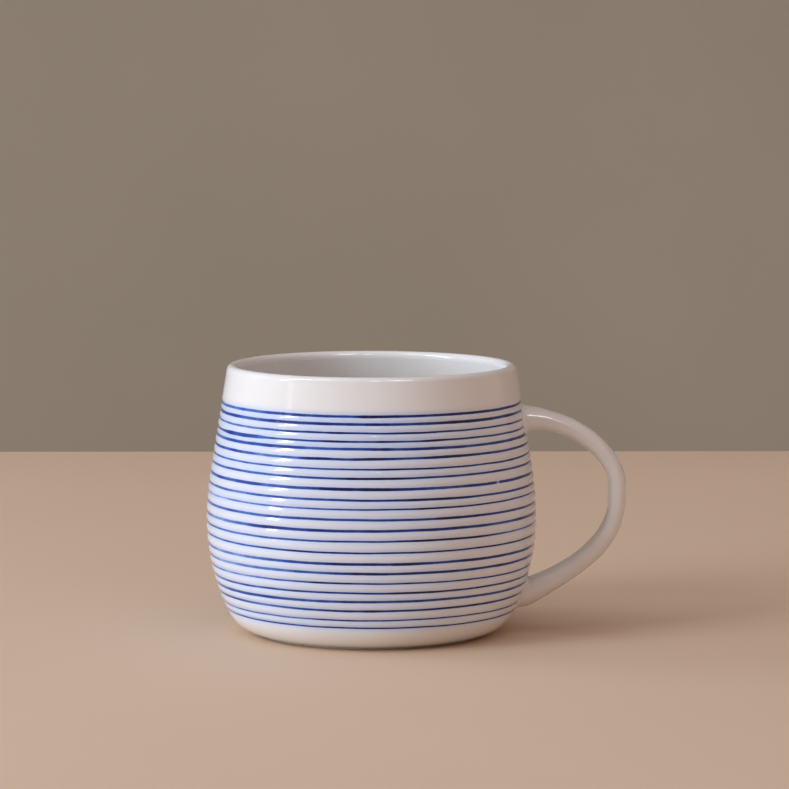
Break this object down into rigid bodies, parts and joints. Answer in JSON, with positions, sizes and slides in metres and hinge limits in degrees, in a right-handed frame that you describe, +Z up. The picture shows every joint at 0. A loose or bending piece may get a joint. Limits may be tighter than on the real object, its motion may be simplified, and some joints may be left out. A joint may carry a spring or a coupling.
{
  "type": "ceramic mug",
  "caption": "Round-bellied glazed stoneware mug with a loop handle, a plain rim and foot, and thin hand-banded cobalt stripes.",
  "frame": {"origin": "on the cup's axis, in the plane of the foot ring that stands on the table", "axes": "+Z up along the cup's axis, out of the mouth; +X from the axis towards the handle; the handle's loop lies in the XZ plane"},
  "size_m": [0.1234, 0.097, 0.079],
  "materials": {
    "stoneware": "matte fired stoneware, unglazed on the foot ring",
    "luting_clay": "matte fired slip",
    "white_glaze": "clear glossy white glaze",
    "liner_glaze": "clear glossy white glaze",
    "handle_glaze": "clear glossy white glaze",
    "cobalt": "brushed cobalt blue under gloss"
  },
  "bodies": {
    "root": {"cup_body": "stoneware", "handle": "stoneware", "upper_handle_joint": "luting_clay", "lower_handle_joint": "luting_clay", "outer_glaze": "white_glaze", "liner_glaze": "liner_glaze", "base_glaze": "white_glaze", "handle_glaze": "handle_glaze", "painted_stripes": "cobalt"}
  },
  "joints": []
}
